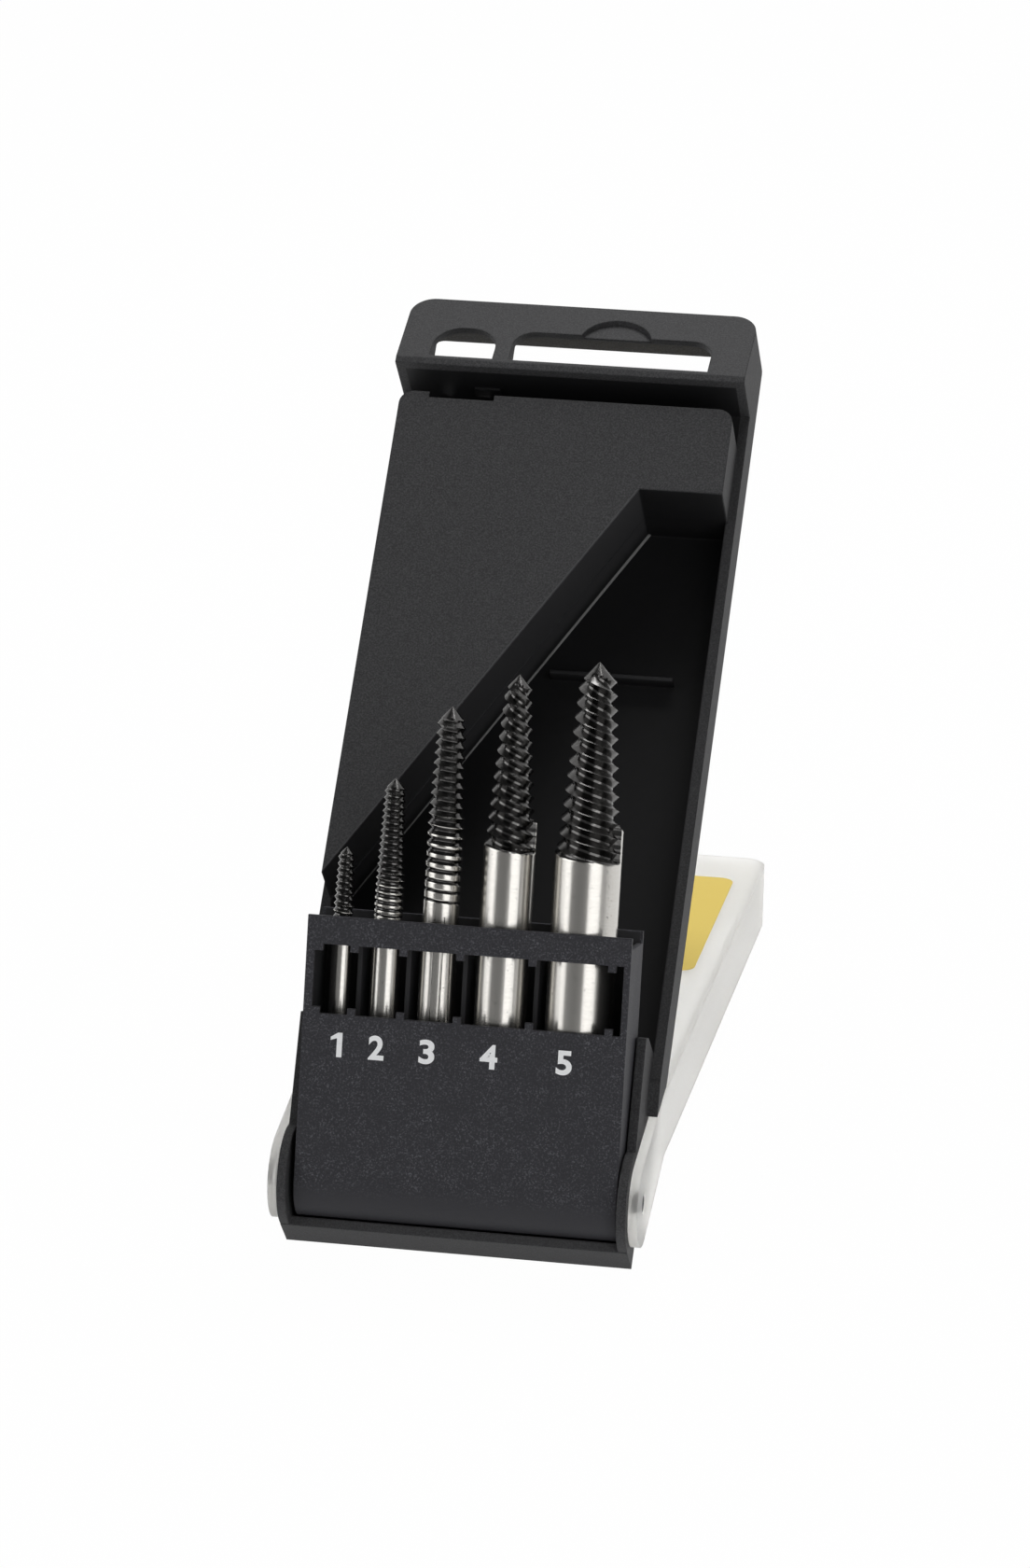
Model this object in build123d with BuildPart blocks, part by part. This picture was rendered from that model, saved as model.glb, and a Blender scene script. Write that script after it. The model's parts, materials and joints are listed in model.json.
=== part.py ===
from build123d import *
import math
import os

os.makedirs("parts", exist_ok=True)

# Case: x across, v up the tray from its bottom edge, w out from its back face
half_width = 36.5
case_length = 206.6
wall = 2.1
floor_thickness = 1.5
skin = 1.6
flange_height = 9.4
top_corner_radius = 5.0
lean = 47.7  # the tray's angle from vertical when the case stands open

# Sloping hanger block
block_length = 20.7
block_lip = 23.6
block_band = 1.5
block_top_height = 14.8
block_plate = 2.0
block_bottom = case_length - block_length

# Raised field with the diagonal edge, and the groove between it and the block
groove_width = 5.4
field_height = 21.6
field_side_step = 1.7
field_band = 19.6  # its full-width part, above the diagonal
field_half_width = half_width - field_side_step
field_top = block_bottom - groove_width
field_step_v = field_top - field_band
field_step_x = 17.7
field_diagonal = 60.0
field_corner_radius = 3.0
rib_thickness = 1.2
rib_pitch = 16.4
rib_columns, rib_rows = 5, 6  # ribs up and across the back of the field
groove_bays = 5
cross_rib_x, cross_rib_drop = 14.5, 34.4  # the rib is this far below the field's step
cross_rib_length, cross_rib_thickness, cross_rib_height = 25.4, 0.8, 3.0

# Openings in the hanger block
slot_drop, slot_height = 2.3, 9.3
slot_web, slot_margin = 3.4, 8.0  # from the round-topped hole, and from the tray's side
ring_hole_width, ring_hole_margin = 13.2, 6.8
slot_bottom = block_bottom + slot_drop
slot_top = slot_bottom + slot_height
ring_hole_left = ring_hole_margin - half_width
ring_hole_right = ring_hole_left + ring_hole_width
slot_left = ring_hole_right + slot_web
slot_right = half_width - slot_margin
slot_radius, ring_hole_radius = 4.5, 6.0
arch_x, arch_radius, arch_depth = 8.0, 7.5, 1.0
arch_drop = 1.5  # the arch's centre below the slot's top

# Latch: two slots through the groove floor, a notch in the field and the snap nub
latch_slots = ((-28.1, -26.3), (-20.8, -18.2))
latch_slot_drop, latch_slot_height = 1.3, 1.8
notch_x, notch_width, notch_depth = -21.9, 13.6, 1.3
nub_x, nub_width, nub_reach = -18.1, 5.4, 0.5
nub_low, nub_height = 12.0, 3.0
nub_root = 1.0

# Shared pivot of cover and holder, with the cheeks that carry it
pivot_v = 10.1
pivot_w = 9.6
pin_radius = 2.0
pin_clearance = 0.05
pin_chamfer = 0.3
pin_reach, pin_recess = 1.45, 0.2  # past the holder's side, and short of the ears' outer face
lobe_radius = 10.0
cheek_outer = half_width - wall
cheek_thickness = 1.8
cheek_end = 42.1
cheek_peak_v, cheek_peak_w = 39.8, 21.5
cheek_edge_low, cheek_edge_high, cheek_edge_set = 5.7, 18.6, 0.9
cheek_waist_v, cheek_waist_w = 17.6, 15.0
foot_height = 8.3
foot_thickness = 1.9

# Frosted cover, in its own directions: a along it, n out through its face
cover_end_gap = 0.6  # between its closed end and the hanger block
cover_length = block_bottom - pivot_v - cover_end_gap
cover_rim = 0.2
cover_face = 14.0
cover_wall = 1.4
cover_skin = 1.5
cover_corner_radius = 5.0
ear_radius = 8.6
ear_thickness = 1.8
ear_gap = 0.4
flange_foot = 27.5  # how far up the tray the flanges are cut away for the ears
rest_gap = 0.05
label_side_margin, label_end_margin = 5.2, 15.3
label_length = 62.5
label_half_width = half_width - label_side_margin
label_far = cover_length - label_end_margin
label_near = label_far - label_length
label_corner_radius = 3.0
label_thickness = 0.15
catch_width, catch_n, catch_height = 7.0, 3.9, 4.4  # window over the tray's nub

# Tilting holder, in its own directions: h up it, f out through its front
holder_tilt = 30.4  # how far it swings forward, away from the tray
holder_side_gap = 0.75  # to each cheek, when it is centred
holder_play = 0.4  # it has slid this far to the right between the cheeks
holder_half_width = cheek_outer - cheek_thickness - holder_side_gap
holder_half_depth = 7.8
holder_top = 52.3
holder_side_drop = 2.3
holder_wall = 1.1
shelf_top = 31.0
shelf_thickness = 2.4
window_left_margin, window_right_margin = 1.65, 1.25
window_left = window_left_margin - holder_half_width
window_right = holder_half_width - window_right_margin
window_bottom, window_top = 33.2, 46.8
divider_thickness = 0.9
tab_width, tab_height = 1.6, 1.3
end_tab_insets = (0.8, 2.3)  # their middles from the window's ends
divider_front_gap = 5.5

# Extractors 1 to 5: shanks, the gaps beside them across the holder, and tapered threads
tool_gaps = [2.35, 4.1, 4.05, 4.15, 3.85, 3.0]  # side to 1, 1 to 2 and so on, 5 to side
shank_diameter = [4.0, 5.6, 7.1, 10.2, 13.1]
tip_diameter = [3.2, 4.1, 5.6, 5.2, 7.2]
tip_height = [65.3, 79.4, 94.1, 101.2, 104.7]
thread_start = [46.1, 52.6, 55.5, 66.9, 66.7]
thread_pitch = [1.3, 1.3, 1.95, 2.6, 2.8]
thread_depth = [0.35, 0.4, 0.6, 0.9, 1.2]
square_length = [8.0, 9.0, 10.0, 11.5, 13.0]
square_share = 0.72  # side of the square end as a share of the shank
socket_clearance = 0.1
shoulder_chamfer = 0.7
root_share, crest_share = 0.15, 0.75  # where in each pitch the root and the crest lie
point_step = 0.3

# The gaps stretch or shrink together to fill the holder
holder_inside = holder_half_width - holder_wall
gap_share = (2 * holder_inside - sum(shank_diameter)) / sum(tool_gaps)
tool_x = []
side_of_last = -holder_inside
for gap, diameter in zip(tool_gaps, shank_diameter):
    tool_x.append(side_of_last + gap * gap_share + diameter / 2)
    side_of_last = tool_x[-1] + diameter / 2

overlap = 1.0  # how far a cutter runs past the face it cuts

# Frames in the world
lean_sin, lean_cos = math.sin(math.radians(lean)), math.cos(math.radians(lean))
pivot_y0 = pivot_v * lean_sin - pivot_w * lean_cos
pivot_z = pivot_v * lean_cos + pivot_w * lean_sin
cover_slope = math.degrees(
    math.asin(pivot_z / math.hypot(cover_length, cover_rim)) + math.atan2(cover_rim, cover_length)
)
slope_sin, slope_cos = math.sin(math.radians(cover_slope)), math.cos(math.radians(cover_slope))
front_y = pivot_y0 - lobe_radius
back_y = pivot_y0 + cover_length * slope_cos + cover_face * slope_sin
y_shift = -(front_y + back_y) / 2
holder_lean = lean - holder_tilt
tilt_sin, tilt_cos = math.sin(math.radians(holder_lean)), math.cos(math.radians(holder_lean))

case_origin = Vector(0, y_shift, 0)
pivot = Vector(0, pivot_y0 + y_shift, pivot_z)
case_plane = Plane(origin=case_origin, x_dir=(1, 0, 0), z_dir=(0, -lean_cos, lean_sin))
case_side = Plane(origin=case_origin, x_dir=(0, lean_sin, lean_cos), z_dir=(1, 0, 0))
cover_plane = Plane(origin=pivot, x_dir=(1, 0, 0), z_dir=(0, slope_sin, slope_cos))
cover_side = Plane(origin=pivot, x_dir=(0, slope_cos, -slope_sin), z_dir=(1, 0, 0))
holder_pivot = Vector(holder_play, pivot.Y, pivot.Z)
holder_plane = Plane(origin=holder_pivot, x_dir=(1, 0, 0), z_dir=(0, tilt_sin, tilt_cos))
holder_side = Plane(origin=holder_pivot, x_dir=(0, tilt_sin, tilt_cos), z_dir=(1, 0, 0))
# The cover's side plane once it has swung shut
closed_side = Plane(origin=pivot, x_dir=(0, lean_sin, lean_cos), z_dir=(1, 0, 0))

# The cover's face starts where it bears on the tray's back in the open pose
swing = 90 - lean + cover_slope
swing_sin, swing_cos = math.sin(math.radians(swing)), math.cos(math.radians(swing))
cover_near = (pivot_w + cover_face * swing_cos + rest_gap) / swing_sin

block_slope = (block_top_height - block_lip) / (case_length - block_bottom - block_band)
diagonal_drop = (field_step_x + field_half_width) * math.tan(math.radians(field_diagonal))


def ear_outline(growth):
    """Round ear and its gusset up to the cover's near edge, grown all round."""
    with BuildSketch(mode=Mode.PRIVATE) as outline:
        Circle(ear_radius)
        with BuildLine():
            Polyline((cover_near, cover_rim), (cover_near, cover_face), (cover_near - overlap, cover_face),
                     (cover_near - overlap, cover_rim), close=True)
        make_face()
        make_hull(mode=Mode.REPLACE)
        if growth:
            offset(amount=growth, mode=Mode.REPLACE)
    return outline.sketch


# Side profile of the hanger block
block_points = [
    (block_bottom, 0),
    (block_bottom, block_lip),
    (block_bottom + block_band, block_lip),
    (case_length, block_top_height),
    (case_length, 0),
]
# Hollow behind its sloping plate
block_depth = block_top_height - block_plate
hollow_points = [
    (block_bottom + skin, block_depth - overlap),
    (block_bottom + skin, block_lip - block_plate),
    (case_length - skin, block_depth - skin * block_slope),
    (case_length - skin, block_depth - overlap),
]


# Tray: back plate, flanges, field, groove, hanger block, cheeks and foot
with BuildPart() as tray:
    # Flanged pan, its plan rounded at the top
    with BuildSketch(case_plane) as plan:
        with BuildLine():
            Polyline((-half_width, 0), (half_width, 0), (half_width, case_length),
                     (-half_width, case_length), close=True)
        make_face()
        fillet(plan.vertices().group_by(Axis.Y)[-1], top_corner_radius)
    extrude(amount=flange_height)

    # Hanger block, rounded to the same plan
    with BuildSketch(case_side.offset(-half_width)):
        with BuildLine():
            Polyline(*block_points, close=True)
        make_face()
    extrude(amount=2 * half_width)
    with BuildSketch(case_plane) as plan_trim:
        Rectangle(2 * half_width, case_length, align=(Align.CENTER, Align.MIN))
        fillet(plan_trim.vertices().group_by(Axis.Y)[-1], top_corner_radius)
    extrude(amount=block_lip + overlap, mode=Mode.INTERSECT)

    # Raised field
    with BuildSketch(case_plane) as field:
        with BuildLine():
            Polyline(
                (-field_half_width, field_top),
                (field_half_width, field_top),
                (field_half_width, field_step_v),
                (field_step_x, field_step_v),
                (-field_half_width, field_step_v - diagonal_drop),
                close=True,
            )
        make_face()
        fillet(field.vertices().group_by(Axis.Y)[-1], field_corner_radius)
    extrude(amount=field_height)

    # Recess in front of the floor, open to the flanges on both sides
    with BuildSketch(case_plane.offset(floor_thickness)):
        with BuildLine():
            Polyline(
                (-cheek_outer, foot_thickness),
                (cheek_outer, foot_thickness),
                (cheek_outer, field_step_v),
                (field_step_x, field_step_v),
                (-cheek_outer, field_step_v - diagonal_drop),
                close=True,
            )
        make_face()
    extrude(amount=flange_height, mode=Mode.SUBTRACT)

    # Hollow back of the field, cut into cells by ribs; its corners keep the diagonal wall one skin thick
    corner_inset = skin * 0.6
    foot_inset = skin / math.sin(math.radians(90 - field_diagonal)) + skin * 1.8
    with BuildSketch(case_plane) as cells:
        with BuildLine():
            Polyline(
                (-field_half_width + skin, field_top - skin),
                (field_half_width - skin, field_top - skin),
                (field_half_width - skin, field_step_v + skin),
                (field_step_x - corner_inset, field_step_v + skin),
                (-field_half_width + skin, field_step_v - diagonal_drop + foot_inset),
                close=True,
            )
        make_face()
        with Locations((0, field_top)):
            with GridLocations(rib_pitch, rib_pitch, rib_columns, 1):
                Rectangle(rib_thickness, 2 * case_length, mode=Mode.SUBTRACT)
        with Locations((0, field_top - skin - rib_pitch * (rib_rows + 1) / 2 + rib_thickness)):
            with GridLocations(rib_pitch, rib_pitch, 1, rib_rows):
                Rectangle(3 * half_width, rib_thickness, mode=Mode.SUBTRACT)
    extrude(amount=field_height - skin, mode=Mode.SUBTRACT)

    # Hollow under the groove floor and inside the block, with ribs left across
    bay = (2 * (half_width - skin) - (groove_bays - 1) * rib_thickness) / groove_bays
    for i in range(groove_bays):
        start = -half_width + skin + i * (bay + rib_thickness)
        with BuildSketch(case_side.offset(start)):
            with BuildLine():
                Polyline((field_top + rib_thickness, 0), (field_top + rib_thickness, flange_height - skin),
                         (block_bottom, flange_height - skin), (block_bottom, 0), close=True)
            make_face()
        extrude(amount=bay, mode=Mode.SUBTRACT)
    with BuildSketch(case_plane) as block_back:
        with BuildLine():
            Polyline((-half_width + skin, block_bottom + skin), (half_width - skin, block_bottom + skin),
                     (half_width - skin, case_length - skin), (-half_width + skin, case_length - skin),
                     close=True)
        make_face()
        fillet(block_back.vertices().group_by(Axis.Y)[-1], top_corner_radius - skin)
    extrude(amount=block_depth, mode=Mode.SUBTRACT)
    for left, right in ((slot_left, slot_right), (ring_hole_left, ring_hole_right)):
        with BuildSketch(case_side.offset(left - overlap)):
            with BuildLine():
                Polyline(*hollow_points, close=True)
            make_face()
        extrude(amount=right - left + 2 * overlap, mode=Mode.SUBTRACT)

    # Hook slot and round-topped hole through the sloping face
    with BuildSketch(case_plane) as openings:
        with Locations((slot_left, slot_bottom)):
            Rectangle(slot_right - slot_left, slot_top - slot_bottom, align=Align.MIN)
        fillet(openings.vertices().group_by(Axis.Y)[-1], slot_radius)
        with Locations((ring_hole_left, slot_bottom)):
            Rectangle(ring_hole_right - ring_hole_left, slot_top - slot_bottom, align=Align.MIN)
        ring_corners = openings.vertices().filter_by_position(
            Axis.X, ring_hole_left - overlap, ring_hole_right + overlap
        )
        fillet(ring_corners.group_by(Axis.Y)[-1], ring_hole_radius)
    extrude(amount=block_lip + overlap, mode=Mode.SUBTRACT)

    # Shallow arch above the slot
    arch_v = slot_top - arch_drop
    arch_w = block_lip + block_slope * (arch_v - block_bottom - block_band)
    arch_plane = Plane(
        origin=case_plane.from_local_coords((arch_x, arch_v, arch_w)),
        x_dir=(1, 0, 0),
        z_dir=case_plane.from_local_coords((0, -block_slope, 1)) - case_plane.origin,
    )
    with BuildSketch(arch_plane):
        Circle(arch_radius)
    extrude(amount=-arch_depth, mode=Mode.SUBTRACT)

    # Latch
    with BuildSketch(case_plane):
        for left, right in latch_slots:
            with Locations(((left + right) / 2, block_bottom - latch_slot_drop)):
                Rectangle(right - left, latch_slot_height)
    extrude(amount=flange_height + overlap, mode=Mode.SUBTRACT)
    with BuildSketch(case_plane.offset(flange_height)):
        with Locations((notch_x, field_top)):
            Rectangle(notch_width, 2 * notch_depth)
    extrude(amount=field_height, mode=Mode.SUBTRACT)
    with BuildSketch(case_plane.offset(nub_low)):
        with Locations((nub_x, block_bottom + (nub_root - nub_reach) / 2)):
            Rectangle(nub_width, nub_root + nub_reach)
    extrude(amount=nub_height)

    # Cross rib on the recess floor
    with BuildSketch(case_plane.offset(floor_thickness)):
        with Locations((cross_rib_x, field_step_v - cross_rib_drop)):
            Rectangle(cross_rib_length, cross_rib_thickness)
    extrude(amount=cross_rib_height)

    # Clear the cover's ears, open and shut, at the foot of both flanges
    for side in (-1, 1):
        start = cheek_outer if side > 0 else -half_width - overlap
        for plane in (closed_side, cover_side):
            with BuildSketch(plane.offset(start)):
                add(ear_outline(ear_gap))
            extrude(amount=wall + overlap, mode=Mode.SUBTRACT)
        with BuildSketch(case_side.offset(start)):
            with Locations((-overlap, -overlap)):
                Rectangle(flange_foot + overlap, block_lip, align=Align.MIN)
        extrude(amount=wall + overlap, mode=Mode.SUBTRACT)

    # Foot: the recess already left a bar, lowered here to its own height
    with BuildSketch(case_plane.offset(foot_height)):
        Rectangle(2 * half_width, 2 * foot_thickness)
    extrude(amount=flange_height, mode=Mode.SUBTRACT)

    # Cheeks with their round lobes and pin holes
    for start in (cheek_outer - cheek_thickness, -cheek_outer):
        with BuildSketch(case_side.offset(start)):
            with BuildLine():
                Polyline(
                    (pivot_v - lobe_radius, 0),
                    (cheek_end, 0),
                    (cheek_end, cheek_edge_low),
                    (cheek_end - cheek_edge_set, cheek_edge_high),
                    (cheek_peak_v, cheek_peak_w),
                    (cheek_waist_v, cheek_waist_w),
                    (pivot_v - lobe_radius, pivot_w),
                    close=True,
                )
            make_face()
            with Locations((pivot_v, pivot_w)):
                Circle(lobe_radius)
                Circle(pin_radius, mode=Mode.SUBTRACT)
            with Locations((pivot_v, 0)):
                Rectangle(2 * cheek_end, 2 * lobe_radius, align=(Align.CENTER, Align.MAX), mode=Mode.SUBTRACT)
        extrude(amount=cheek_thickness)
tray.part.label = "tray"
export_step(tray.part, "parts/tray.step")

# Stub pins that the holder and the cover turn on
pin_inner_x = holder_half_width - pin_reach
pin_outer_x = half_width - pin_recess
with BuildPart() as left_hinge_pin:
    with BuildSketch(Plane(origin=(-pin_outer_x, pivot.Y, pivot.Z), z_dir=(1, 0, 0))):
        Circle(pin_radius)
    extrude(amount=pin_outer_x - pin_inner_x)
    chamfer(left_hinge_pin.edges().filter_by(GeomType.CIRCLE), pin_chamfer)
left_hinge_pin.part.label = "left_hinge_pin"
export_step(left_hinge_pin.part, "parts/left_hinge_pin.step")

with BuildPart() as right_hinge_pin:
    with BuildSketch(Plane(origin=(pin_inner_x, pivot.Y, pivot.Z), z_dir=(1, 0, 0))):
        Circle(pin_radius)
    extrude(amount=pin_outer_x - pin_inner_x)
    chamfer(right_hinge_pin.edges().filter_by(GeomType.CIRCLE), pin_chamfer)
right_hinge_pin.part.label = "right_hinge_pin"
export_step(right_hinge_pin.part, "parts/right_hinge_pin.step")

# Frosted cover: a shallow shell, open at its near end, on two round ears
with BuildPart() as cover:
    with BuildSketch(cover_plane.offset(cover_rim)) as cover_plan:
        with BuildLine():
            Polyline((-half_width, cover_near), (half_width, cover_near), (half_width, cover_length),
                     (-half_width, cover_length), close=True)
        make_face()
        fillet(cover_plan.vertices().group_by(Axis.Y)[-1], cover_corner_radius)
    extrude(amount=cover_face - cover_rim)
    with BuildSketch(cover_plane.offset(cover_rim)) as cover_hollow:
        with BuildLine():
            Polyline((-half_width + cover_wall, cover_near - overlap),
                     (half_width - cover_wall, cover_near - overlap),
                     (half_width - cover_wall, cover_length - cover_wall),
                     (-half_width + cover_wall, cover_length - cover_wall), close=True)
        make_face()
        fillet(cover_hollow.vertices().group_by(Axis.Y)[-1], cover_corner_radius - cover_wall)
    extrude(amount=cover_face - cover_rim - cover_skin, mode=Mode.SUBTRACT)
    for start in (half_width - ear_thickness, -half_width):
        with BuildSketch(cover_side.offset(start)):
            add(ear_outline(0))
            Circle(pin_radius + pin_clearance, mode=Mode.SUBTRACT)
        extrude(amount=ear_thickness)
    # Window in the end wall, over the tray's nub
    with BuildSketch(cover_side.offset(nub_x - catch_width / 2)):
        with Locations((cover_length, catch_n)):
            Rectangle(4 * cover_wall, catch_height)
    extrude(amount=catch_width, mode=Mode.SUBTRACT)
cover.part.label = "cover"
export_step(cover.part, "parts/cover.step")

with BuildPart() as cover_label:
    with BuildSketch(cover_plane.offset(cover_face)):
        with Locations((0, (label_near + label_far) / 2)):
            RectangleRounded(2 * label_half_width, label_far - label_near, label_corner_radius)
    extrude(amount=label_thickness)
cover_label.part.label = "cover_label"
export_step(cover_label.part, "parts/cover_label.step")

# Holder: a trough on a shelf of square sockets, open to the rear below the shelf
depth_inside = holder_half_depth - holder_wall
edges_x = [-holder_inside]
for i in range(4):
    right_of = tool_x[i] + shank_diameter[i] / 2
    left_of = tool_x[i + 1] - shank_diameter[i + 1] / 2
    edges_x.append((right_of + left_of) / 2)
with BuildPart() as holder:
    with BuildSketch(holder_side.offset(-holder_half_width)):
        Circle(holder_half_depth)
        with Locations((holder_top / 2, 0)):
            Rectangle(holder_top, 2 * holder_half_depth)
    extrude(amount=2 * holder_half_width)
    # Trough above the shelf, with lower side walls
    with BuildSketch(holder_plane.offset(shelf_top)):
        Rectangle(2 * holder_inside, 2 * depth_inside)
    extrude(amount=holder_top, mode=Mode.SUBTRACT)
    with BuildSketch(holder_plane.offset(holder_top - holder_side_drop)):
        Rectangle(3 * holder_half_width, 2 * depth_inside)
    extrude(amount=holder_top, mode=Mode.SUBTRACT)
    # Lower bays, one below each tool, open to the rear
    bounds = edges_x + [holder_inside]
    for i in range(5):
        left = bounds[i] + (divider_thickness / 2 if i else 0)
        right = bounds[i + 1] - (divider_thickness / 2 if i < 4 else 0)
        with BuildSketch(holder_side.offset(left)):
            Circle(depth_inside)
            with Locations(((shelf_top - shelf_thickness) / 2, -holder_wall)):
                Rectangle(shelf_top - shelf_thickness, 2 * holder_half_depth - holder_wall)
        extrude(amount=right - left, mode=Mode.SUBTRACT)
    # Dividers in the trough
    with BuildSketch(holder_plane.offset(shelf_top)):
        for x in edges_x[1:]:
            with Locations((x, divider_front_gap / 2)):
                Rectangle(divider_thickness, 2 * depth_inside - divider_front_gap)
    extrude(amount=holder_top - holder_side_drop - shelf_top)

    # Window in the front, with small tabs over the gaps between the tools
    with BuildSketch(holder_plane.offset(window_bottom)):
        with Locations(((window_left + window_right) / 2, -holder_half_depth)):
            Rectangle(window_right - window_left, 4 * holder_wall)
    extrude(amount=window_top - window_bottom, mode=Mode.SUBTRACT)
    tabs_x = [*edges_x[1:], window_left + end_tab_insets[0], window_right - end_tab_insets[1]]
    for bottom in (window_bottom, window_top - tab_height):
        with BuildSketch(holder_plane.offset(bottom)):
            for x in tabs_x:
                with Locations((x, -holder_half_depth + holder_wall / 2)):
                    Rectangle(tab_width, holder_wall)
        extrude(amount=tab_height)
    # Sockets and pin bores
    with BuildSketch(holder_plane.offset(shelf_top - shelf_thickness)):
        for x, diameter in zip(tool_x, shank_diameter):
            with Locations((x, 0)):
                side = diameter * square_share + 2 * socket_clearance
                Rectangle(side, side)
    extrude(amount=shelf_thickness, mode=Mode.SUBTRACT)
    with BuildSketch(holder_side.offset(-holder_half_width)):
        Circle(pin_radius + pin_clearance)
    extrude(amount=2 * holder_half_width, mode=Mode.SUBTRACT)
holder.part.label = "holder"
export_step(holder.part, "parts/holder.step")

# Extractors: square drive end, chamfered shoulder, shank and tapered ridged thread
for i in range(5):
    shank = shank_diameter[i] / 2
    tip = tip_diameter[i] / 2
    cone = tip_height[i] - tip
    turns = round((cone - thread_start[i]) / thread_pitch[i])
    pitch = (cone - thread_start[i]) / turns
    tool_foot = holder_plane.from_local_coords((tool_x[i], 0, 0))
    tool_plane = Plane(origin=tool_foot, x_dir=(1, 0, 0), z_dir=holder_plane.y_dir * -1)
    with BuildPart() as extractor:
        with BuildSketch(tool_plane):
            with BuildLine():
                outline = [(0, shelf_top), (shank - shoulder_chamfer, shelf_top),
                           (shank, shelf_top + shoulder_chamfer), (shank, thread_start[i])]
                for turn in range(turns):
                    root_radius = shank + (tip - shank) * turn / turns - thread_depth[i]
                    crest_radius = shank + (tip - shank) * (turn + crest_share) / turns
                    outline.append((root_radius, thread_start[i] + (turn + root_share) * pitch))
                    outline.append((crest_radius, thread_start[i] + (turn + crest_share) * pitch))
                outline += [(tip - point_step, cone), (0, tip_height[i])]
                Polyline(*outline, close=True)
            make_face()
        revolve(axis=Axis(tool_plane.origin, holder_plane.z_dir))
        with BuildSketch(holder_plane.offset(shelf_top - square_length[i])):
            with Locations((tool_x[i], 0)):
                Rectangle(shank_diameter[i] * square_share, shank_diameter[i] * square_share)
        extrude(amount=square_length[i])
    extractor.part.label = f"extractor_{i + 1}"
    export_step(extractor.part, f"parts/extractor_{i + 1}.step")
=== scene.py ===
import bpy
import json
import math
from mathutils import Matrix, Vector


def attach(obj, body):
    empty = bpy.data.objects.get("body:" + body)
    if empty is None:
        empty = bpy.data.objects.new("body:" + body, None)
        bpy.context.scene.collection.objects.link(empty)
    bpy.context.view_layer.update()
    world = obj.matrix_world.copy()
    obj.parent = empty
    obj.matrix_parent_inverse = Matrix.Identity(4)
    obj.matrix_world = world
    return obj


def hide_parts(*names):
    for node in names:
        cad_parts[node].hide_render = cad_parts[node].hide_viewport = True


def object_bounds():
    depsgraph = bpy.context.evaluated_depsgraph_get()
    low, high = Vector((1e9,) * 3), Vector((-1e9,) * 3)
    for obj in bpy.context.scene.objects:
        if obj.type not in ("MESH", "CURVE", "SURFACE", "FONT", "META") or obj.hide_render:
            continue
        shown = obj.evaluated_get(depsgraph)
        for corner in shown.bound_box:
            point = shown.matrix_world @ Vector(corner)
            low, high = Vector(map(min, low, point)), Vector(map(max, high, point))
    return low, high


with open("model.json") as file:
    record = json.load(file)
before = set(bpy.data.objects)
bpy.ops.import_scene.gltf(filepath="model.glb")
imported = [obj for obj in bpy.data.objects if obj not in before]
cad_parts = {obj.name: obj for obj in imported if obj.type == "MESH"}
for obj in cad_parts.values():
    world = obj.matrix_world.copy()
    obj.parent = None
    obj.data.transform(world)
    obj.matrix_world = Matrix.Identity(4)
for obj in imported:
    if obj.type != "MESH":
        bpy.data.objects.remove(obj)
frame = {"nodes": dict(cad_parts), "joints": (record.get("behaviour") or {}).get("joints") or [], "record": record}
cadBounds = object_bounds()
nodes = frame["nodes"]
joints = {joint["name"]: joint for joint in frame["joints"]}
mm = 0.001
print("frame loaded")

# Places that the frame gives: the shared pivot, and how far the holder and the tray lean back
pivot = Vector(joints["holder_hinge"]["pos_m"])
upHolder = Vector(joints["extractor_1_lift"]["axis"])
holderLean = math.atan2(upHolder.y, upHolder.z)
outOfHolder = Vector((0, -math.cos(holderLean), math.sin(holderLean)))
backFace = next(mount for mount in frame["record"]["mounts"] if mount["name"] == "back_face")
trayLean = math.atan2(-backFace["axis"][2], backFace["axis"][1])
upTray = Vector((0, math.sin(trayLean), math.cos(trayLean)))
outOfTray = Vector((0, -math.cos(trayLean), math.sin(trayLean)))


def onHolder(across):
    # the holder's own frame, some millimetres across from the pivot
    return Matrix.Translation((across * mm, pivot.y, pivot.z)) @ Matrix.Rotation(-holderLean, 4, "X")


def clearSelection():
    bpy.ops.object.select_all(action="DESELECT")


def pick(piece):
    # the piece joins the selection and leads it
    piece.select_set(True)
    bpy.context.view_layer.objects.active = piece


def editAll(kind):
    bpy.ops.object.mode_set(mode="EDIT")
    bpy.ops.mesh.select_mode(type=kind)
    bpy.ops.mesh.select_all(action="SELECT")


def leaveEdit():
    bpy.ops.object.mode_set(mode="OBJECT")


def startPiece(name):
    piece = bpy.context.object
    piece.name = name
    piece.data.name = name
    return piece


def settle(piece, matrix):
    # puts the finished mesh where it belongs and leaves the object at the origin
    clearSelection()
    pick(piece)
    piece.matrix_world = matrix @ piece.matrix_world
    bpy.ops.object.transform_apply(location=True, rotation=True, scale=True)


def dress(piece, material):
    piece.data.materials.clear()
    piece.data.materials.append(material)


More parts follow.
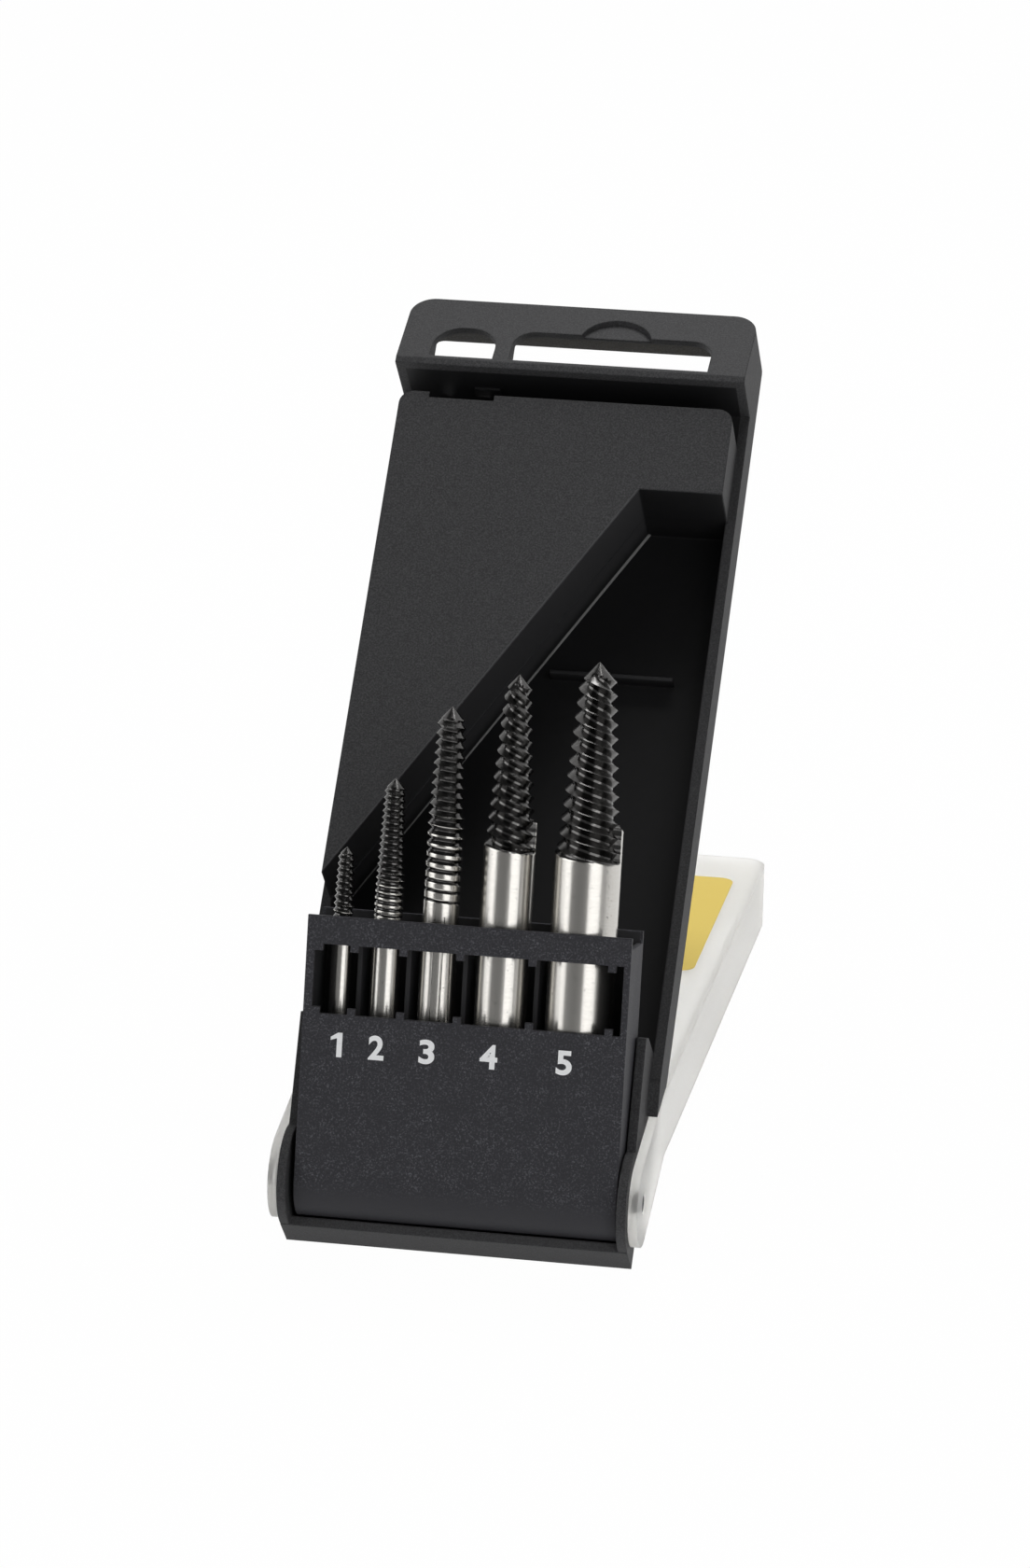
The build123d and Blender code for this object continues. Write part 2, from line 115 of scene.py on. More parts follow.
# Shader sums read as sums: every operator adds one Math node
class Wire:
    def __init__(self, tree, socket=None):
        self.tree = tree
        self.socket = socket

    def put(self, kind, settings=None, values=None, out=0):
        made = self.tree.nodes.new(kind)
        for key, value in (settings or {}).items():
            setattr(made, key, value)
        for key, value in (values or {}).items():
            if isinstance(value, Wire):
                self.tree.links.new(value.socket, made.inputs[key])
            else:
                made.inputs[key].default_value = value
        return Wire(self.tree, made.outputs[out])

    def calc(self, operation, *values):
        return self.put("ShaderNodeMath", {"operation": operation}, dict(enumerate(values)))

    def __add__(self, other): return self.calc("ADD", self, other)
    def __radd__(self, other): return self.calc("ADD", other, self)
    def __sub__(self, other): return self.calc("SUBTRACT", self, other)
    def __rsub__(self, other): return self.calc("SUBTRACT", other, self)
    def __mul__(self, other): return self.calc("MULTIPLY", self, other)
    def __rmul__(self, other): return self.calc("MULTIPLY", other, self)
    def __or__(self, other): return self.calc("MAXIMUM", self, other)  # where either mask holds

    def ramp(self, low, high):  # 0 below low, 1 above high
        return self.put("ShaderNodeMapRange", {"interpolation_type": "SMOOTHSTEP"},
                        {"Value": self, "From Min": low, "From Max": high})

    def past(self, edge, soft):  # 0 up to the edge, 1 beyond a soft strip after it, in millimetres
        return self.ramp(edge * mm, (edge + soft) * mm)

    def blend(self, first, second):  # colours mixed by this value
        return self.put("ShaderNodeMix", {"data_type": "RGBA"}, {0: self, 6: first, 7: second}, out=2)

    def noise(self, place, scale, detail, rough=0.5):
        return self.put("ShaderNodeTexNoise", {}, {
            "Vector": place, "Scale": scale, "Detail": detail, "Roughness": rough})

    def vector(self, operation, first, second, out=0):
        return self.put("ShaderNodeVectorMath", {"operation": operation}, {0: first, 1: second}, out)

    def split(self, vector):  # its x, y and z
        parts = self.put("ShaderNodeSeparateXYZ", {}, {0: vector}).socket.node
        return [Wire(self.tree, output) for output in parts.outputs]


def newMaterial(name, look):
    # a Principled surface with the even values on its own sockets
    material = bpy.data.materials.new(name)
    material.use_nodes = True
    tree = material.node_tree
    tree.nodes.clear()
    output = tree.nodes.new("ShaderNodeOutputMaterial")
    surface = tree.nodes.new("ShaderNodeBsdfPrincipled")
    tree.links.new(surface.outputs[0], output.inputs[0])
    for key, value in look.items():
        surface.inputs[key].default_value = value
    root = Wire(tree)
    place = root.put("ShaderNodeTexCoord", out=3)
    return material, surface, root, place


def feed(surface, **wires):
    for key, wire in wires.items():
        wire.tree.links.new(wire.socket, surface.inputs[key.replace("_", " ")])


def bumped(root, height, look):
    values = {"Strength": look["bump"], "Distance": look["grainDepth"], "Height": height}
    if "edgeRadius" in look:
        values["Normal"] = root.put("ShaderNodeBevel", {"samples": 4}, {"Radius": look["edgeRadius"]})
    return root.put("ShaderNodeBump", {}, values)


def along(root, place, at, direction):
    # distance from a point, measured along a direction
    away = root.vector("SUBTRACT", place, tuple(at))
    return root.vector("DOT_PRODUCT", away, tuple(direction), 1)


# Black case plastic: fine spark-eroded texture on the raised faces, smoother in the recess and the groove, which
# get painted shade, darker towards the recess floor and on the step, groove and lip. Places in millimetres across,
# up the tray from its foot, and out from its back: where each region's edge begins, and how wide its soft strip
# is. Noises are scale, detail and roughness.
trayLook = {
    "raised": (0.029, 0.029, 0.0305, 1), "speck": (0.085, 0.085, 0.088, 1),
    # painted shade tones of the recess, darkest at its floor
    "deepShade": (0.0055, 0.0055, 0.006, 1), "wall": (0.036, 0.036, 0.038, 1),
    # painted highlight tones for the diagonal wall's edges
    "cornerHighlight": (0.22, 0.22, 0.22, 1), "edgeHighlightTone": (0.075, 0.075, 0.078, 1),
    "sockets": {"Specular IOR Level": 0.22},
    "pivotUp": 10.1, "pivotOut": 9.6,
    "fieldOut": (21.1, 0.3), "hangerUp": (187.2, 0.2), "flangeAcross": (34.5, 0.1), "footTop": (1.9, 0.1),
    "cheekAcross": (32.5, 0.1), "cheekTop": (42.2, 0.1), "recessOut": (1.5, 5.0), "stepUp": (160.4, 0.3),
    "grain": (3000.0, 2, 0.6), "mottle": (300.0, 4, 0.6), "grainSpan": (0.35, 0.72),
    "grainShare": 0.55, "mottleShare": 0.12, "wallShare": 0.9, "wallMottle": 0.1,
    # how strongly painted shade darkens the step and the flanges' edges
    "stepShade": 0.82, "footLight": 0.25, "rimShade": 0.35, "rimFrom": (9.1, 0.2), "rimTo": (9.5, 0.2),
    "cornerAcross": 17.7, "cornerUp": 160.9, "diagonal": 60.0,
    "lineFrom": (-0.2, 0.1), "lineTo": (0.36, 0.08), "lineHigh": (2.0, 0.1), "lineEnd": (160.9, 0.3),
    "faintFrom": (-0.34, 0.06), "faintTo": (0.05, 0.05), "faintEnd": (160.7, 0.2),
    "rough": 0.5, "raisedRough": 0.12, "grainRough": 0.06,
    "mottleHeight": 0.2, "grainDepth": 0.00008, "bump": 0.6, "edgeRadius": 0.0005,
}
trayFoot = pivot - upTray * trayLook["pivotUp"] * mm - outOfTray * trayLook["pivotOut"] * mm


def trayPlastic():
    look = trayLook
    material, surface, root, place = newMaterial("TrayPlastic", look["sockets"])
    up = along(root, place, trayFoot, upTray)
    out = along(root, place, trayFoot, outOfTray)
    across = along(root, place, trayFoot, (1, 0, 0))
    across = across.calc("ABSOLUTE", across)
    field = out.past(*look["fieldOut"])
    hanger = up.past(*look["hangerUp"])
    foot = 1 - up.past(*look["footTop"])
    cheek = across.past(*look["cheekAcross"]) * (1 - up.past(*look["cheekTop"]))
    flange = across.past(*look["flangeAcross"]) | cheek
    raised = field | hanger | (flange | foot)
    grain = root.noise(place, *look["grain"])
    mottle = root.noise(place, *look["mottle"])
    plain = grain.ramp(*look["grainSpan"]) * look["grainShare"] + mottle * look["mottleShare"]
    plain = plain.blend(look["raised"], look["speck"])
    # painted shade: the recess tone runs from the darkest tone at its floor to the wall tone higher up, and is
    # darker still on the step, groove and lip
    sunkShade = out.past(*look["recessOut"]) * (1 - up.past(*look["stepUp"]) * look["stepShade"])
    sunkShade = (sunkShade * look["wallShare"] + mottle * look["wallMottle"]).blend(look["deepShade"], look["wall"])
    tone = (foot * look["footLight"]).blend(raised.blend(sunkShade, plain), look["speck"])
    # painted shade: a narrow band along the flanges' edges is darkened towards the recess's darkest tone
    rim = out.past(*look["rimFrom"]) * (1 - out.past(*look["rimTo"]))
    tone = (rim * look["rimShade"]).blend(tone, look["deepShade"])
    # painted highlights: a light line where the diagonal wall meets the floor, and a faint one along its top edge
    slant = math.radians(look["diagonal"])
    corner = trayFoot + Vector((look["cornerAcross"] * mm, 0, 0)) + upTray * look["cornerUp"] * mm
    away = along(root, place, corner, Vector((math.sin(slant), 0, 0)) - upTray * math.cos(slant))
    cornerHighlight = (1 - away.past(*look["lineTo"])) * (1 - out.past(*look["lineHigh"]))
    cornerHighlight = cornerHighlight * away.past(*look["lineFrom"]) * (1 - up.past(*look["lineEnd"]))
    tone = cornerHighlight.blend(tone, look["cornerHighlight"])
    edgeHighlight = away.past(*look["faintFrom"]) * (1 - away.past(*look["faintTo"])) * field
    edgeHighlight = edgeHighlight * (1 - up.past(*look["faintEnd"]))
    tone = edgeHighlight.blend(tone, look["edgeHighlightTone"])
    feed(surface, Base_Color=tone,
         Roughness=look["rough"] + raised * look["raisedRough"] + grain * look["grainRough"],
         Normal=bumped(root, grain * raised + mottle * look["mottleHeight"], look))
    return material


# Holder plastic: matt black with fine light specks, painted shade inside its trough as a plain nearly black tone,
# and smoother on its rounded foot. Places in millimetres across from its middle, up from the pivot, and out to its
# front.
holderLook = {
    "base": (0.033, 0.033, 0.038, 1), "speck": (0.15, 0.15, 0.168, 1),
    # the first tone here is the painted shade inside the trough
    "inside": (0.028, 0.028, 0.030, 1), "foot": (0.040, 0.040, 0.045, 1),
    "sockets": {"Specular IOR Level": 0.22},
    "middle": 0.4, "insideAcross": (31.2, 0.1), "insideOut": (7.4, 0.2), "insideTop": (52.0, 0.2),
    "insideBottom": (0.0, 9.0), "footTop": (-4.5, 6.0), "smoothShare": 0.9,
    "grain": (2700.0, 3, 0.7), "cloud": (240.0, 3), "grainSpan": (0.48, 0.72), "cloudSpan": (0.3, 0.7),
    "leastSpecks": 0.35, "cloudSpecks": 0.5,
    "rough": 0.5, "grainRough": 0.2, "grainDepth": 0.00006, "bump": 0.6, "edgeRadius": 0.0003,
}


def holderPlastic():
    look = holderLook
    material, surface, root, place = newMaterial("HolderPlastic", look["sockets"])
    across = along(root, place, pivot + Vector((look["middle"] * mm, 0, 0)), (1, 0, 0))
    up = along(root, place, pivot, upHolder)
    out = along(root, place, pivot, outOfHolder)
    # painted shade: the trough's inner faces take the plain dark inside tone, without specks
    inside = 1 - across.calc("ABSOLUTE", across).past(*look["insideAcross"])
    inside = inside * (1 - out.past(*look["insideOut"]))
    inside = inside * (1 - up.past(*look["insideTop"])) * up.past(*look["insideBottom"])
    grain = root.noise(place, *look["grain"])
    cloud = root.noise(place, *look["cloud"])
    specks = look["leastSpecks"] + cloud.ramp(*look["cloudSpan"]) * look["cloudSpecks"]
    specks = grain.ramp(*look["grainSpan"]) * specks
    smooth = (1 - up.past(*look["footTop"])) * look["smoothShare"]
    front = (specks * (1 - smooth)).blend(look["base"], look["speck"])
    tone = inside.blend(smooth.blend(front, look["foot"]), look["inside"])
    feed(surface, Base_Color=tone, Roughness=look["rough"] + grain * look["grainRough"],
         Normal=bumped(root, grain, look))
    return material


# Frosted plastic of the cover, plain yellow film on it, and the white ink of the numbers
coverLook = {
    "tint": (0.998, 0.99, 0.965, 1), "shade": (0.985, 0.977, 0.95, 1),
    "sockets": {"Transmission Weight": 0.85, "IOR": 1.2, "Specular IOR Level": 0.3},
    "cloud": (90.0, 3), "frost": (1400.0, 2), "rough": 0.34, "frostRough": 0.12,
    "grainDepth": 0.00003, "bump": 0.4, "edgeRadius": 0.0008,
}
labelLook = {
    "film": (0.99, 0.76, 0.19, 1), "shade": (0.96, 0.73, 0.175, 1),
    "sockets": {"Specular IOR Level": 0.15},
    "cloud": (60.0, 3), "fibre": (1500.0, 2), "rough": 0.5, "fibreRough": 0.15,
}
inkLook = {
    "worn": (0.80, 0.81, 0.82, 1), "white": (0.97, 0.98, 0.99, 1),
    "sockets": {"Specular IOR Level": 0.4},
    "wear": (1800.0, 3, 0.7), "wearSpan": (0.2, 0.45), "rough": 0.45, "wearRough": 0.2,
}


def frostedPlastic():
    look = coverLook
    material, surface, root, place = newMaterial("FrostedPlastic", look["sockets"])
    cloud = root.noise(place, *look["cloud"])
    frost = root.noise(place, *look["frost"])
    feed(surface, Base_Color=cloud.blend(look["tint"], look["shade"]),
         Roughness=look["rough"] + frost * look["frostRough"], Normal=bumped(root, frost, look))
    return material


def labelFilm():
    look = labelLook
    material, surface, root, place = newMaterial("LabelFilm", look["sockets"])
    cloud = root.noise(place, *look["cloud"])
    fibre = root.noise(place, *look["fibre"])
    feed(surface, Base_Color=cloud.blend(look["film"], look["shade"]),
         Roughness=look["rough"] + fibre * look["fibreRough"])
    return material


def whitePaint():
    look = inkLook
    material, surface, root, place = newMaterial("WhitePaint", look["sockets"])
    wear = root.noise(place, *look["wear"])
    feed(surface, Base_Color=wear.ramp(*look["wearSpan"]).blend(look["worn"], look["white"]),
         Roughness=look["rough"] + wear * look["wearRough"])
    return material


# Extractor steel: ground bright wherever it keeps the shank's full radius, black oxide everywhere else
steelLook = {
    "bright": (0.66, 0.645, 0.615, 1), "dark": (0.51, 0.49, 0.455, 1), "pit": (0.20, 0.19, 0.18, 1),
    "oxide": (0.10, 0.098, 0.096, 1), "oxideWorn": (0.25, 0.245, 0.24, 1), "sockets": {"Metallic": 1.0},
    "blackened": -0.07, "soften": 0.04,  # millimetres from the shank's full radius
    "stretch": 0.12, "marks": (3200.0, 4, 0.65), "speckle": (2400.0, 3, 0.7),
    "pits": (1100.0, 3, 0.7), "pitSpan": (0.64, 0.72), "scale": (900.0, 4, 0.7), "wornSpan": (0.5, 0.8),
    "marksShare": 0.45, "speckleShare": 0.35, "pitShare": 0.55,
    "groundRough": 0.17, "marksRough": 0.09, "speckleRough": 0.06, "oxideRough": 0.13, "scaleRough": 0.12,
    "marksHeight": 0.5, "speckleHeight": 0.5, "grainDepth": 0.00002, "bump": 0.4,
}


def extractorSteel(name, axisX, radius):
    look = steelLook
    material, surface, root, place = newMaterial(name, look["sockets"])
    local = root.put("ShaderNodeMapping", {"vector_type": "TEXTURE"}, {
        "Vector": place, "Location": (axisX * mm, pivot.y, pivot.z), "Rotation": (-holderLean, 0, 0)})
    x, y, z = root.split(local)
    reach = x.calc("SQRT", x * x + y * y)
    ground = reach.past(radius + look["blackened"], look["soften"])
    # grinding marks run round the shank, so the noise is stretched along the circle
    rings = root.put("ShaderNodeCombineXYZ", {}, {0: x * look["stretch"], 1: y * look["stretch"], 2: z})
    marks = root.noise(rings, *look["marks"])
    speckle = root.noise(place, *look["speckle"])
    pits = root.noise(place, *look["pits"]).ramp(*look["pitSpan"])
    scale = root.noise(place, *look["scale"])
    metal = marks * look["marksShare"] + speckle * look["speckleShare"]
    metal = (pits * look["pitShare"]).blend(metal.blend(look["bright"], look["dark"]), look["pit"])
    oxide = scale.ramp(*look["wornSpan"]).blend(look["oxide"], look["oxideWorn"])
    groundRough = look["groundRough"] + marks * look["marksRough"] + speckle * look["speckleRough"]
    oxideRough = look["oxideRough"] + scale * look["scaleRough"]
    height = marks * look["marksHeight"] + speckle * look["speckleHeight"]
    feed(surface, Base_Color=ground.blend(oxide, metal),
         Roughness=ground * groundRough + (1 - ground) * oxideRough,
         Normal=bumped(root, height * ground + scale * (1 - ground), look))
    return material


paints = {"tray": trayPlastic(), "holder": holderPlastic(), "cover": frostedPlastic(),
          "cover_label": labelFilm()}
paints["left_hinge_pin"] = paints["right_hinge_pin"] = paints["holder"]
for nodeName, paint in paints.items():
    dress(nodes[nodeName], paint)
print("materials made")

# Five extractors, sizes in millimetres, heights up the holder from its pivot. A crest passes through
# crestHeight at crestAngle, counted in degrees from the right towards the back.
extractors = {
    "across": [-26.0, -17.1, -6.7, 6.1, 21.6],
    "shank": [4.0, 5.6, 7.1, 10.2, 13.1],
    "tip": [3.2, 4.1, 5.6, 5.2, 7.2],
    "tipHeight": [65.3, 79.4, 94.1, 101.2, 104.7],
    "threadFrom": [46.1, 52.6, 55.7, 66.9, 66.2],
    "taperFrom": [53.5, 60.5, 72.5, 66.9, 66.2],
    "pitch": [1.3, 1.3, 1.95, 2.6, 2.8],
    "starts": [1, 1, 1, 3, 3],
    "firstDepth": [0.20, 0.20, 0.14, 0.95, 1.30],
    "depth": [0.42, 0.44, 0.72, 0.95, 1.30],
    "rootShare": [0.08, 0.08, 0.04, 0.08, 0.08],  # half the groove's flat, as a share of the pitch
    "clearance": [0, 0, 0, 0.12, 0.14],  # how far the crests stay below the shank's radius
    "crestHeight": [53.85, 56.97, 57.18, 96.9, 99.6],
    "crestAngle": [270, 270, 270, 185, 185],
    "endAngle": [20, 20, 20, -8, -14],
    "runOut": [0, 0, 0, 6.3, 7.0],
    "runOutPower": 1.75, "fade": 0.15, "leastRadius": 0.02, "tipAngle": 43.0, "tipCut": 0.06,
    "leastTaper": 0.01, "rows": 12, "steps": 72, "underThread": 1.3, "mergeWithin": 0.004,
    "cutWithin": 1e-8,
    "selectWithin": 0.01,  # number 3 has points 0.007 above its cut, which leave stray faces in its shank
    "shelf": 31.0, "square": [8.0, 9.0, 10.0, 11.5, 13.0], "squareShare": 0.72, "squareBevel": 0.09,
    "shoulder": ((0.55, 0.22), (0.45, 0.85)),  # drop and total step-in of its two chamfers
    "lastRing": 0.2, "creaseAngle": 34.0,
}


def between(low, high, value):
    return min(max((value - low) / (high - low), 0), 1)


def threadRadius(size, height, angle):
    shank, tip, pitch = size["shank"] / 2, size["tip"] / 2, size["pitch"]
    tipSlope = math.tan(math.radians(size["tipAngle"]))
    cone = (size["tipHeight"] - height) * tipSlope
    coneBase = size["tipHeight"] - tip / tipSlope
    start = shank - size["clearance"]
    if height < size["taperFrom"]:
        share = between(size["threadFrom"], size["taperFrom"] + size["leastTaper"], height)
        root = start - size["firstDepth"] + (size["firstDepth"] - size["depth"]) * share
    else:
        root = start - size["depth"] + (tip - start) * between(size["taperFrom"], coneBase, height)
    turns = (angle - math.radians(size["crestAngle"])) / math.tau
    phase = ((height - size["crestHeight"]) / pitch + size["starts"] * turns) % 1
    rootHalf = size["rootShare"] * pitch
    slope = size["depth"] / (pitch / 2 - rootHalf)
    thread = min(start, root + slope * max(abs(phase - 0.5) * pitch - rootHalf, 0))
    # the grooves run out into the shank along the helix, or climb round the back to a ground land
    around = (angle - math.radians(size["endAngle"])) % math.tau / math.tau
    if size["runOut"]:
        edge = size["threadFrom"] + size["runOut"] * (1 - around) ** size["runOutPower"]
    else:
        edge = size["threadFrom"] + size["starts"] * pitch * (0.5 - around)
    fade = between(-size["fade"], size["fade"], (height - edge) / pitch)
    return max(min(cone, shank + (thread - shank) * fade), size["leastRadius"])


def windThread(name, size, bottom):
    # a row of points up one lead, so that rows fall on the crests and in the grooves
    pitch, lead = size["pitch"], size["pitch"] * size["starts"]
    first = size["crestHeight"] + lead * size["crestAngle"] / 360
    first += pitch * math.ceil((size["tipHeight"] + lead - first) / pitch)
    clearSelection()
    bpy.ops.mesh.primitive_plane_add(size=mm)
    piece = startPiece(name)
    editAll("VERT")
    bpy.ops.mesh.merge(type="CENTER")
    bpy.ops.transform.translate(value=(size["shank"] / 2 * mm, 0, first * mm))
    rise = (0, 0, pitch / size["rows"] * mm)
    for _ in range(size["rows"] * size["starts"]):
        bpy.ops.mesh.extrude_region_move(TRANSFORM_OT_translate={"value": rise})
    leaveEdit()

    # wound down the piece: left-hand, so it falls as it turns anticlockwise
    screw = piece.modifiers.new("Winding", "SCREW")
    screw.axis = "Z"
    screw.angle = math.tau
    screw.screw_offset = -lead * mm
    screw.iterations = math.ceil((first - bottom) / lead) + 1
    screw.steps = screw.render_steps = size["steps"]
    screw.use_merge_vertices = True
    bpy.ops.object.modifier_apply(modifier="Winding")
    editAll("VERT")
    bpy.ops.mesh.remove_doubles(threshold=size["mergeWithin"] * mm)
    for height, cleared in ((bottom, "clear_inner"), (size["tipHeight"] - size["tipCut"], "clear_outer")):
        bpy.ops.mesh.select_all(action="SELECT")
        bpy.ops.mesh.bisect(plane_co=(0, 0, height * mm), plane_no=(0, 0, 1),
                            threshold=size["cutWithin"], **{cleared: True})
    leaveEdit()
    for vertex in piece.data.vertices:
        angle = math.atan2(vertex.co.y, vertex.co.x)
        radius = threadRadius(size, vertex.co.z / mm, angle) * mm
        vertex.co.x, vertex.co.y = math.cos(angle) * radius, math.sin(angle) * radius
    return piece


def extendShank(piece, size, bottom):
    # the thread's open lower end runs down to the chamfered shoulder, then both ends are closed
    clearSelection()
    pick(piece)
    vertices = piece.data.vertices
    lowest = (bottom + size["selectWithin"]) * mm
    for edge in piece.data.edges:
        edge.select = all(vertices[k].co.z < lowest for k in edge.vertices)
    for vertex in vertices:
        vertex.select = vertex.co.z < lowest
    for face in piece.data.polygons:
        face.select = False
    bpy.ops.object.mode_set(mode="EDIT")
    bpy.ops.mesh.select_mode(type="EDGE")
    run = bottom - size["shelf"] - sum(drop for drop, _ in size["shoulder"]) - size["lastRing"]
    shank = radius = size["shank"] / 2
    # the last ring above the shoulder keeps the shank's shading even
    for drop, inward in ((run, 0), (size["lastRing"], 0), *size["shoulder"]):
        bpy.ops.mesh.extrude_edges_move(TRANSFORM_OT_translate={"value": (0, 0, -drop * mm)})
        grow = (shank - inward) / radius
        bpy.ops.transform.resize(value=(grow, grow, 1), center_override=(0, 0, 0))
        radius = shank - inward
    bpy.ops.mesh.edge_face_add()
    bpy.ops.mesh.select_all(action="DESELECT")
    bpy.ops.mesh.select_non_manifold()
    bpy.ops.mesh.edge_face_add()
    bpy.ops.mesh.select_all(action="SELECT")
    bpy.ops.mesh.normals_make_consistent(inside=False)
    leaveEdit()


def addSquareEnd(piece, size):
    clearSelection()
    side = size["shank"] * size["squareShare"]
    middleUp = size["shelf"] - size["square"] / 2
    bpy.ops.mesh.primitive_cube_add(size=1, location=(0, 0, middleUp * mm),
                                    scale=(side * mm, side * mm, size["square"] * mm))
    bpy.ops.object.transform_apply(location=True, rotation=True, scale=True)
    editAll("EDGE")
    bpy.ops.mesh.bevel(offset=side * size["squareBevel"] * mm, segments=2)
    leaveEdit()
    pick(piece)
    bpy.ops.object.join()


def makeExtractor(index):
    size = {key: values[index] if isinstance(values, list) else values
            for key, values in extractors.items()}
    bottom = size["threadFrom"] - size["underThread"] * size["pitch"]
    piece = windThread(f"Extractor{index + 1}", size, bottom)
    extendShank(piece, size, bottom)
    addSquareEnd(piece, size)
    bpy.ops.object.shade_smooth_by_angle(angle=math.radians(size["creaseAngle"]))
    settle(piece, onHolder(size["across"]))
    dress(piece, extractorSteel(f"ExtractorSteel{index + 1}", size["across"], size["shank"] / 2))
    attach(piece, f"extractor_{index + 1}")
    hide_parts(f"extractor_{index + 1}")
    print(piece.name, len(piece.data.vertices), "points")


for index in range(len(extractors["across"])):
    makeExtractor(index)

# Printed numbers on the holder's front, sizes in millimetres
numbers = {
    "across": [-24.5, -16.6, -6.6, 5.6, 20.4], "widths": [2.3, 3.1, 3.1, 3.5, 3.1], "height": 4.8,
    "middleUp": 27.3, "front": 7.8, "thickness": 0.03, "weight": 0.03, "rawHeight": 0.02,
    # outline of the 1, in shares of its width and height
    "one": ((-0.5, 0.18), (-0.5, 0.31), (0.02, 0.5), (0.36, 0.5), (0.36, -0.5), (-0.04, -0.5),
            (-0.04, 0.27)),
}


def outlineOne():
    bpy.ops.mesh.primitive_circle_add(vertices=len(numbers["one"]), fill_type="NGON")
    for vertex, (x, y) in zip(bpy.context.object.data.vertices, numbers["one"]):
        vertex.co = (x, y, 0)
    editAll("EDGE")
    bpy.ops.mesh.extrude_region_move(TRANSFORM_OT_translate={"value": (0, 0, numbers["rawHeight"])})
    bpy.ops.mesh.select_all(action="SELECT")
    bpy.ops.mesh.normals_make_consistent(inside=False)
    leaveEdit()


def typeDigit(digit):
    bpy.ops.object.text_add()
    text = bpy.context.object.data
    text.body = digit
    text.offset = numbers["weight"]
    text.extrude = numbers["rawHeight"] / 2
    bpy.ops.object.convert(target="MESH")


def makeNumber(index):
    clearSelection()
    if index == 0:
        outlineOne()
    else:
        typeDigit(str(index + 1))
    digit = startPiece(f"Number{index + 1}")
    vertices = digit.data.vertices
    low = [min(v.co[k] for v in vertices) for k in range(3)]
    high = [max(v.co[k] for v in vertices) for k in range(3)]
    goal = (numbers["widths"][index], numbers["height"], numbers["thickness"])
    forward = numbers["front"] + numbers["thickness"] / 2
    for vertex in vertices:
        x, y, z = [((vertex.co[k] - low[k]) / (high[k] - low[k]) - 0.5) * goal[k] * mm for k in range(3)]
        vertex.co = (x, -z - forward * mm, y + numbers["middleUp"] * mm)
    settle(digit, onHolder(numbers["across"][index]))
    dress(digit, numberPaint)
    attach(digit, "holder")


numberPaint = whitePaint()
for index in range(len(numbers["across"])):
    makeNumber(index)
print("numbers printed")

# Floor, studio and camera, distances in metres
studio = {
    "floorTones": ((0.86, 0.86, 0.86, 1), (0.88, 0.88, 0.88, 1)), "floorNoise": (40.0, 3),
    "floorSockets": {"Roughness": 0.9, "Specular IOR Level": 0.1}, "floorSize": 4.0, "floorGlow": 0.985,
    "behind": (0.25, 0.4), "sky": 0.24, "zenith": 0.08, "skySpan": (0.25, 0.75),
}
lamps = {  # place, width, height and power
    "leftLamp": ((-0.95, -0.42, 0.47), 0.85, 0.9, 4.4),
    "rightLamp": ((0.66, -0.86, 0.47), 0.85, 0.9, 4.0),
    "backLamp": ((0.10, 0.55, 1.15), 0.6, 0.6, 8.5),
}


def raysSeen(root):
    # rays from the camera or through the cover, and rays off a shiny surface
    path = root.put("ShaderNodeLightPath").socket.node
    seen, through, glossy = (Wire(root.tree, path.outputs[f"Is {kind} Ray"])
                             for kind in ("Camera", "Transmission", "Glossy"))
    return seen | through, glossy


clearSelection()
bpy.ops.mesh.primitive_plane_add(size=studio["floorSize"])
floor = startPiece("Floor")
material, surface, root, place = newMaterial("FloorPaper", studio["floorSockets"])
feed(surface, Base_Color=root.noise(place, *studio["floorNoise"]).blend(*studio["floorTones"]))
tree = material.node_tree
seen, glossy = raysSeen(root)
glow = tree.nodes.new("ShaderNodeEmission")
mix = tree.nodes.new("ShaderNodeMixShader")
output = next(node for node in tree.nodes if node.type == "OUTPUT_MATERIAL")
tree.links.new(((seen | glossy) * studio["floorGlow"]).socket, mix.inputs[0])
tree.links.new(surface.outputs[0], mix.inputs[1])
tree.links.new(glow.outputs[0], mix.inputs[2])
tree.links.new(mix.outputs[0], output.inputs[0])
floor.data.materials.append(material)

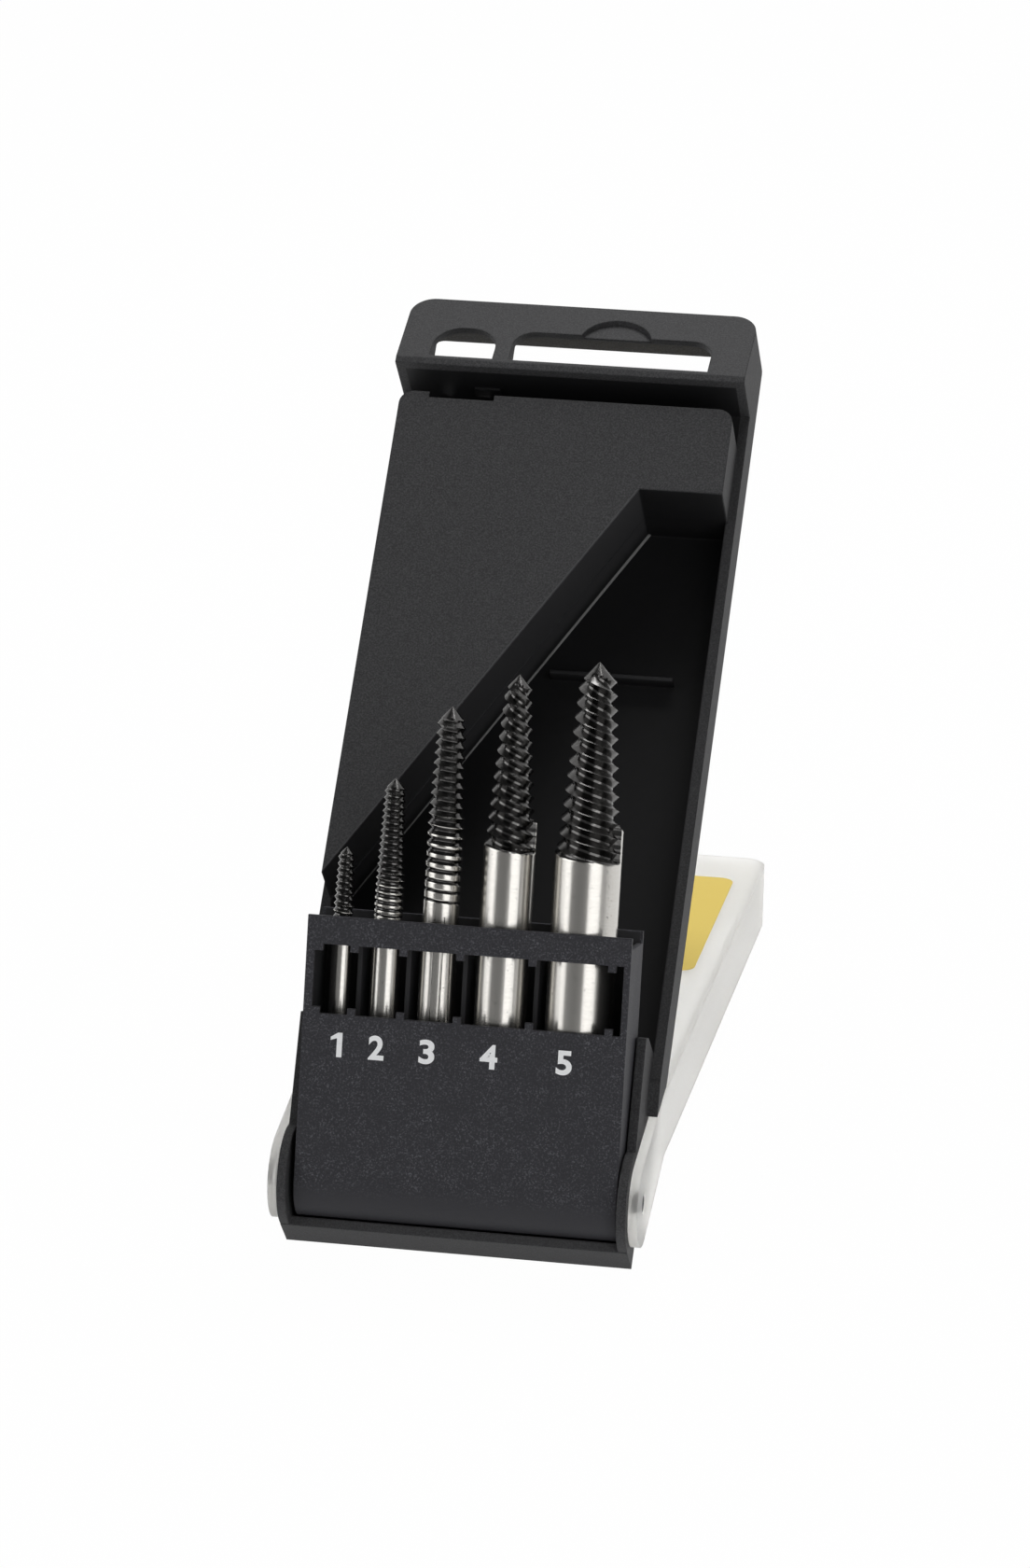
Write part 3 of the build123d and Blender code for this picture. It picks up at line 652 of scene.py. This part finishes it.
world = bpy.data.worlds.new("Studio")
bpy.context.scene.world = world
world.use_nodes = True
tree = world.node_tree
tree.nodes.clear()
output = tree.nodes.new("ShaderNodeOutputWorld")
backdrop = tree.nodes.new("ShaderNodeBackground")
tree.links.new(backdrop.outputs[0], output.inputs[0])
root = Wire(tree)
seen, glossy = raysSeen(root)
direction = root.split(root.put("ShaderNodeTexCoord", out=0))
shown = seen | glossy * direction[1].ramp(*studio["behind"])
sky = studio["sky"] - direction[2].ramp(*studio["skySpan"]) * (studio["sky"] - studio["zenith"])
tree.links.new((shown + (1 - shown) * sky).socket, backdrop.inputs[1])

middle = (cadBounds[0] + cadBounds[1]) / 2
for name, (place, width, height, power) in lamps.items():
    data = bpy.data.lights.new(name, "AREA")
    data.shape = "RECTANGLE"
    data.size, data.size_y, data.energy = width, height, power
    lamp = bpy.data.objects.new(name, data)
    bpy.context.scene.collection.objects.link(lamp)
    lamp.location = place
    lamp.rotation_euler = (middle - Vector(place)).to_track_quat("-Z", "Y").to_euler()

# Camera at the photograph's viewpoint: angles in degrees, distances in metres, focal length and long
# side in the photograph's pixels, sensor in millimetres
view = {
    "azimuth": 10.0336, "elevation": 22.0858, "roll": 0.3486, "distance": 1.0461919,
    "target": (0.0182546, -0.126228, 0.1177826), "focal": 6186.28, "longSide": 1680.0,
    "sensor": 36.0, "clip": (0.05, 20.0),
}
azimuth, elevation = math.radians(view["azimuth"]), math.radians(view["elevation"])
backward = Vector((math.sin(azimuth) * math.cos(elevation), -math.cos(azimuth) * math.cos(elevation),
                   math.sin(elevation)))
cameraData = bpy.data.cameras.new("Camera")
camera = bpy.data.objects.new("Camera", cameraData)
bpy.context.scene.collection.objects.link(camera)
cameraData.sensor_width = view["sensor"]
cameraData.lens = view["focal"] / view["longSide"] * cameraData.sensor_width
cameraData.clip_start, cameraData.clip_end = view["clip"]
camera.rotation_mode = "QUATERNION"
camera.location = Vector(view["target"]) + backward * view["distance"]
camera.rotation_quaternion = ((-backward).to_track_quat("-Z", "Y").to_matrix()
                              @ Matrix.Rotation(math.radians(view["roll"]), 3, "Z")).to_quaternion()
bpy.context.scene.camera = camera
bpy.context.scene.view_settings.view_transform = "Standard"
print("studio set")
